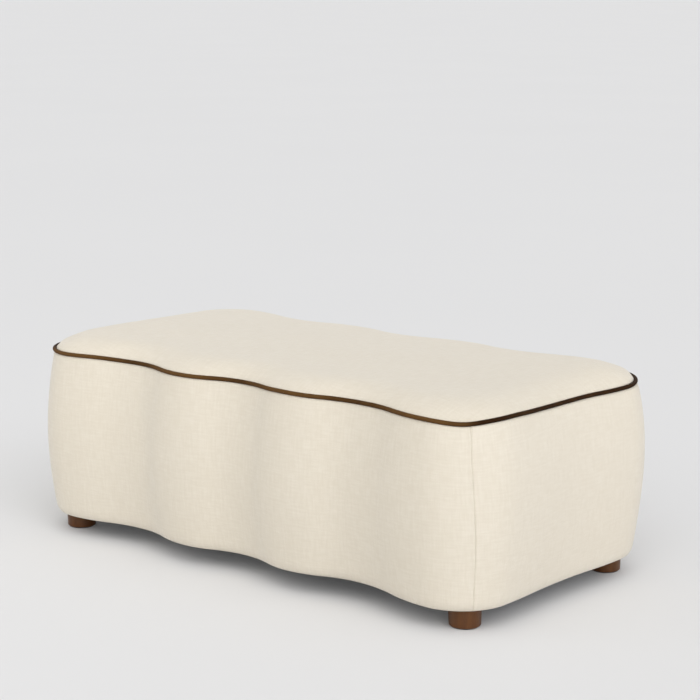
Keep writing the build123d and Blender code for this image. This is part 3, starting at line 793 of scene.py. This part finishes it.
class OTTOMAN_OT_top_cover(bpy.types.Operator):
    """Stretch the crowned top cover inside the piping"""

    bl_idname = "ottoman.top_cover"
    bl_label = "Top Cover"

    def execute(self, context):
        sizes = context.scene.ottoman_sizes
        distances, marks = round_marks(sizes, TOP_POINTS)
        reach = sizes.piping_radius + sizes.layer_gap
        rings = []
        for degrees in TOP_CURL:
            angle = radians(degrees)
            inset = -reach * cos(angle)
            rings.append(Ring(sizes.piping_height + reach * sin(angle), 0.0, inset))
        insets = np.concatenate((np.linspace(0.0052, 0.03, 9), np.linspace(0.035, sizes.crown_run, 15)))
        rings += [crown_ring(sizes, inset) for inset in insets]
        top = sizes.piping_height + sizes.crown_rise
        for share in np.linspace(0, 1, 24)[1:]:
            rings.append(spine_ring(sizes, top + TOP_CREST * sin(pi / 2 * share) ** 2, share))
        columns = lay(sizes, marks, rings)
        for row in range(len(TOP_CURL) - 1, len(rings) - 1):
            from_seam = sizes.crown_run if rings[row].spine else rings[row].inset - reach
            for column in range(len(distances) - 1):
                point = Vector(columns[row, column])
                gather = noise.noise((distances[column] * 90, from_seam * 20, 4.0))
                ease = noise.noise(point * 5.5) + 0.4 * noise.noise(point * 13)
                columns[row, column, 2] += sizes.pucker * (gather * exp(-from_seam / 0.014) + ease)
            columns[row, -1] = columns[row, 0]
        held = np.zeros(columns.shape[:2], bool)
        held[:6] = True
        columns = inflate(context, columns, distances, 6, held, TOP_GIVE)
        finish_cover(context.scene, "top", loft(columns, distances, planar=True))
        return {"FINISHED"}


class OTTOMAN_OT_piping(bpy.types.Operator):
    """Lay the leather piping and its filler cord round the top edge"""

    bl_idname = "ottoman.piping"
    bl_label = "Piping"

    def execute(self, context):
        sizes = context.scene.ottoman_sizes
        distances, marks = round_marks(sizes, PIPING_POINTS)
        turns = np.linspace(0, 2 * pi, 25)
        middle_height, radius = sizes.piping_height, sizes.piping_radius
        rings = [Ring(middle_height - radius * sin(turn), radius * cos(turn)) for turn in turns]
        columns = lay(sizes, marks, rings)
        middle = ring_points(sizes, marks, Ring(middle_height, 0.0))
        for column, distance in enumerate(distances[:-1]):
            slow = noise.noise((distance * 12, 7.0, 0.0))
            for row, turn in enumerate(turns[:-1]):
                ripple = noise.noise((distance * 150, cos(turn), sin(turn)))
                scale = 0.98 + 0.02 * ripple + 0.015 * slow
                columns[row, column] = middle[column] + (columns[row, column] - middle[column]) * scale
        columns[-1], columns[:, -1] = columns[0], columns[:, 0]
        bm = loft(columns[::-1], distances)
        # The front part of the piping is marked here for its painted highlight, a lighter colour standing in for
        # light
        painted_highlight = bm.verts.layers.float.new("painted_highlight")
        for vert in bm.verts:
            vert[painted_highlight] = smooth_share(-vert.co.y, *FRONT_HIGHLIGHT)
        leather = piping_material(context.scene.ottoman_colours)
        finish_piece("piping_leather", bm, leather, "piping_cover", thickness=PIPING_WALL)
        core = PIPING_CORE * radius
        rings = [Ring(middle_height + core * sin(turn), core * cos(turn)) for turn in turns[::2]]
        columns = lay(sizes, tuple(values[::2] for values in marks), rings)
        bm = loft(columns, distances[::2])
        finish_piece("piping_filler", bm, cord_material(), "piping_cord")
        return {"FINISHED"}


class OTTOMAN_OT_padding(bpy.types.Operator):
    """Fill the body with its foam and wadding"""

    bl_idname = "ottoman.padding"
    bl_label = "Foam and Wadding"

    def execute(self, context):
        sizes = context.scene.ottoman_sizes
        foam = foam_material()
        wadding = fibre_material("wadding", (0.86, 0.86, 0.84), (0.66, 0.66, 0.65), 260.0, 0.0009)
        low = sizes.hem_height + sizes.cover_thickness + sizes.layer_gap
        deck = sizes.piping_height - sizes.seat_foam_edge
        start = sizes.piping_radius + sizes.layer_gap
        top = sizes.piping_height - start
        wadding_layer = sizes.cover_thickness + sizes.layer_gap
        foam_layer = wadding_layer + sizes.wadding_thickness + sizes.layer_gap

        def face(bottom, up_to, layer, count=30):
            """Rings of a layer's outer face."""
            low_heights = np.linspace(bottom, bottom + 0.016, 6)
            heights = np.concatenate((low_heights, np.linspace(bottom + 0.02, up_to, count)))
            rows = []
            for height in heights:
                roll = max(0.0, 1 - (height - sizes.hem_height) / sizes.hem_roll)
                rows.append(Ring(height, swell(sizes, height) - sizes.hem_tuck * roll**2 - layer))
            return rows

        for side, (first, last) in panel_ends(sizes).items():
            count = 220 if side in ("front", "back") else 110
            distances = np.linspace(first + PAD_END_GAP, last - PAD_END_GAP, count)
            marks = marks_at(sizes, distances)
            outer = face(low, top, wadding_layer)
            inner = [ring._replace(grow=ring.grow - sizes.wadding_thickness) for ring in reversed(outer)]
            columns = lay(sizes, marks, outer + inner + outer[:1])
            finish_pad(side, "wadding", columns, distances, wadding)
            outer = face(low, deck, foam_layer)
            back = [Ring(height, -sizes.foam_back) for height in (deck, low)]
            columns = lay(sizes, marks, outer + back + outer[:1])
            finish_pad(side, "foam", columns, distances, foam)

        distances, marks = round_marks(sizes, PAD_POINTS)
        skirt = sizes.piping_height - 0.004
        insets = np.linspace(start, sizes.crown_run, 14)
        crest = sizes.piping_height + sizes.crown_rise

        def crowned(layer):
            """Rings of the top's outer face, a layer inside the cover."""
            rows = [Ring(skirt, 0.0, start + layer)]
            rows += [crown_ring(sizes, inset, layer) for inset in insets]
            rows[1] = rows[1]._replace(inset=start + layer)
            shares = np.linspace(0, 1, 12)[1:]
            return rows + [spine_ring(sizes, crest - layer, share, layer) for share in shares]

        inner = crowned(wadding_layer + sizes.wadding_thickness)
        columns = lay(sizes, marks, inner[::-1] + crowned(wadding_layer))
        finish_pad("top", "wadding", columns, distances, wadding)
        side = [Ring(deck, swell(sizes, deck) - foam_layer), *face(deck, top, foam_layer, 8)[-8:]]
        crown_rings = crowned(foam_layer)
        base = [ring._replace(height=deck, give=0.0) for ring in crown_rings[:len(insets) - 1:-1]]
        step = Ring(top, 0.0, start + foam_layer)
        columns = lay(sizes, marks, base + side + [step] + crown_rings)
        finish_pad("top", "foam", columns, distances, foam)
        return {"FINISHED"}


class OTTOMAN_OT_dust_cover(bpy.types.Operator):
    """Staple the black dust cover under the body"""

    bl_idname = "ottoman.dust_cover"
    bl_label = "Dust Cover"

    def execute(self, context):
        sizes = context.scene.ottoman_sizes
        distances, marks = round_marks(sizes, PAD_POINTS)
        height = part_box("dust_cover")[1].z - 10 * SAME_PLACE
        rings = [Ring(height, -DUST_INSET, spine=share, give=0.0) for share in np.linspace(0, 1, 34)]
        columns = lay(sizes, marks, rings[::-1])
        for row in range(1, len(columns) - 1):
            edge = min(1.0, (len(columns) - 1 - row) / 4)
            for column in range(len(distances) - 1):
                point = Vector(columns[row, column])
                columns[row, column, 2] -= edge * DUST_SAG * (0.6 + noise.noise(point * 9))
        columns[:, -1] = columns[:, 0]
        bm = loft(columns, distances)
        bmesh.ops.reverse_faces(bm, faces=bm.faces)
        cut_area = sum(face.calc_area() for face in bm.faces)
        piece = finish_piece("dust_cloth", bm, dust_cloth_material(), "dust_cover")
        piece.modifiers.new("wall", "SOLIDIFY").thickness = DUST_THICKNESS
        return {"FINISHED"}


class OTTOMAN_OT_feet(bpy.types.Operator):
    """Finish the turned feet and glue a felt pad under each"""

    bl_idname = "ottoman.feet"
    bl_label = "Feet and Felt"

    def execute(self, context):
        colours = context.scene.ottoman_colours
        walnut = wood_material("foot_wood", colours.walnut, colours.walnut_dark, 420.0, (0.28, 0.40), 22.0)
        bm = bmesh.new()
        for name in ("front_left_foot", "front_right_foot", "back_left_foot", "back_right_foot"):
            repaint(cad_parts[name], walnut)
            low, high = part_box(name)
            centre = (low + high) / 2
            radius = (high.x - low.x) / 2 - FELT_INSET
            made = bmesh.ops.create_circle(bm, cap_ends=True, cap_tris=False, segments=64, radius=radius)
            bmesh.ops.translate(bm, verts=made["verts"], vec=(centre.x, centre.y, 0.0))
            faces = {face for vert in made["verts"] for face in vert.link_faces}
            raised = bmesh.ops.extrude_face_region(bm, geom=list(faces))
            top = [item for item in raised["geom"] if isinstance(item, bmesh.types.BMVert)]
            bmesh.ops.translate(bm, verts=top, vec=(0, 0, low.z))
        bmesh.ops.recalc_face_normals(bm, faces=bm.faces)
        # Edges of the rims: all but the upright ones
        rims = [edge for edge in bm.edges if abs(edge.verts[0].co.z - edge.verts[1].co.z) < SAME_PLACE / 10]
        bmesh.ops.bevel(bm, geom=rims, offset=FELT_EDGE, segments=2, profile=0.5, affect="EDGES", material=-1)
        felt = fibre_material("felt", (0.12, 0.10, 0.085), (0.035, 0.030, 0.026), 1400.0, 0.0003, sheen=0.5)
        finish_piece("felt_glides", bm, felt, "foot_pads", merge=False)
        return {"FINISHED"}


class OTTOMAN_OT_frame_finish(bpy.types.Operator):
    """Give the boards, posts, skins and fasteners their finishes"""

    bl_idname = "ottoman.frame_finish"
    bl_label = "Boards and Fasteners"

    def execute(self, context):
        plywood = plywood_material("plywood", (0.66, 0.48, 0.30), (0.47, 0.31, 0.17), 0.0015)
        bending = plywood_material("bending_plywood", (0.60, 0.42, 0.27), (0.42, 0.27, 0.15), 0.0010, upright=True)
        pine = wood_material("pine", (0.72, 0.52, 0.30), (0.52, 0.33, 0.16), 160.0, (0.55, 0.7), 14.0)
        steel = steel_material()
        finishes = {
            plywood: ("_deck", "_bottom_rail", "_foot_block"),
            bending: ("_skin",),
            pine: ("_post", "_upright", "_cross_rail"),
            steel: ("staples", "bolts", "nuts", "screws"),
        }
        for name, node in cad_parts.items():
            for material, endings in finishes.items():
                if name.endswith(endings):
                    repaint(node, material)
        return {"FINISHED"}


def facing(backwards):
    """Rotation of a lamp or a camera with its back this way."""
    return Vector(backwards).to_track_quat("Z", "Y").to_euler()


class OTTOMAN_OT_stage(bpy.types.Operator):
    """Set the pale floor, the soft light and the camera"""

    bl_idname = "ottoman.stage"
    bl_label = "Stage"

    def execute(self, context):
        scene = context.scene
        colour = scene.ottoman_colours.backdrop
        bm = bmesh.new()
        bmesh.ops.create_circle(bm, cap_ends=True, segments=96, radius=300.0)
        floor = mesh_object("floor", bm)
        material, tree = start_material("floor_paint", Roughness=0.9, Specular_IOR_Level=0.1)
        tone = noise_value(tree, object_place(tree), scale=0.6)
        paint = mixed(tree, rgba(colour, 0.97), rgba(colour, 0.98), tone, 0.3, 0.7)
        shader = tree.nodes["Principled BSDF"]
        tree.links.new(paint, shader.inputs["Base Color"])
        # A little of what the camera sees is lit evenly, so the floor meets the backdrop without an edge
        glow = add_node(tree, "Emission", {"Color": rgba(colour)})
        seen = add_node(tree, "LightPath").outputs["Is Camera Ray"]
        share = combine(tree, "MULTIPLY", seen, 0.05)
        mix = add_node(tree, "MixShader", {0: share, 1: shader.outputs["BSDF"], 2: glow.outputs["Emission"]})
        tree.links.new(mix.outputs["Shader"], tree.nodes["Material Output"].inputs["Surface"])
        floor.data.materials.append(material)

        world = bpy.data.worlds.new("studio")
        scene.world = world
        world.use_nodes = True
        tree = world.node_tree
        tree.nodes.clear()
        path = add_node(tree, "LightPath")
        seen = combine(tree, "MAXIMUM", path.outputs["Is Camera Ray"], path.outputs["Is Transmission Ray"])
        seen = combine(tree, "MAXIMUM", seen, path.outputs["Is Glossy Ray"])
        backdrop = add_node(tree, "Background", {"Color": rgba(colour, 0.97)})
        light = add_node(tree, "Background", {"Color": (1, 1, 1, 1), "Strength": 0.64})
        mix = add_node(tree, "MixShader", {0: seen, 1: light.outputs[0], 2: backdrop.outputs[0]})
        add_node(tree, "OutputWorld", {"Surface": mix.outputs["Shader"]})

        # Suns: where each comes from, its strength and its colour
        lamps = {
            "key": ((0.500, -0.500, 0.707), 1.14, (1.0, 0.99, 0.98)),
            "low_front": ((0.650, -0.690, 0.300), 0.34, (1.0, 0.98, 0.955)),
            "low_side": ((0.950, -0.16, 0.220), 0.76, (0.98, 1.01, 1.11)),
        }
        for name, (source, strength, tint) in lamps.items():
            lamp = bpy.data.lights.new(name, "SUN")
            lamp.energy = strength
            lamp.color = tint
            lamp.angle = radians(60)
            add_object(name, lamp).rotation_euler = facing(source)

        fill = bpy.data.lights.new("fill", "AREA")
        fill.shape = "RECTANGLE"
        fill.size, fill.size_y = 1.5, 1.0
        fill.energy = 4.8
        fill.color = (1.0, 0.99, 0.97)
        holder = add_object("fill", fill)
        holder.location = (-1.5, -1.9, 1.3)
        holder.rotation_euler = facing(holder.location - Vector((-0.2, -0.2, 0.2)))
        holder.visible_camera = False

        camera = bpy.data.cameras.new("camera")
        camera.lens = 102.15
        camera.clip_end = 500.0
        scene.camera = add_object("camera", camera)
        scene.camera.location = (2.519, -2.881, 1.116)
        scene.camera.rotation_euler = facing((0.6405, -0.7455, 0.1842))
        scene.view_settings.view_transform = "Standard"
        return {"FINISHED"}


class OTTOMAN_PT_panel(bpy.types.Panel):
    """Sizes, colours and pieces of the ottoman"""

    bl_idname = "OTTOMAN_PT_panel"
    bl_label = "Ottoman Coffee Table"
    bl_space_type = "VIEW_3D"
    bl_region_type = "UI"
    bl_category = "Ottoman"

    def draw(self, context):
        for group in (context.scene.ottoman_sizes, context.scene.ottoman_colours):
            box = self.layout.box()
            for name in group.__annotations__:
                box.prop(group, name)
        for operator in OPERATORS:
            self.layout.operator(operator.bl_idname)


OPERATORS = (
    OTTOMAN_OT_stage,
    OTTOMAN_OT_side_covers,
    OTTOMAN_OT_top_cover,
    OTTOMAN_OT_piping,
    OTTOMAN_OT_padding,
    OTTOMAN_OT_dust_cover,
    OTTOMAN_OT_feet,
    OTTOMAN_OT_frame_finish,
)
CLASSES = (OttomanSizes, OttomanColours, *OPERATORS, OTTOMAN_PT_panel)


def register():
    for item in CLASSES:
        bpy.utils.register_class(item)
    bpy.types.Scene.ottoman_sizes = PointerProperty(type=OttomanSizes)
    bpy.types.Scene.ottoman_colours = PointerProperty(type=OttomanColours)


def unregister():
    del bpy.types.Scene.ottoman_colours
    del bpy.types.Scene.ottoman_sizes
    for item in reversed(CLASSES):
        bpy.utils.unregister_class(item)


def main():
    register()
    for operator in OPERATORS:
        group, name = operator.bl_idname.split(".")
        getattr(getattr(bpy.ops, group), name)()


if __name__ == "__main__":
    main()
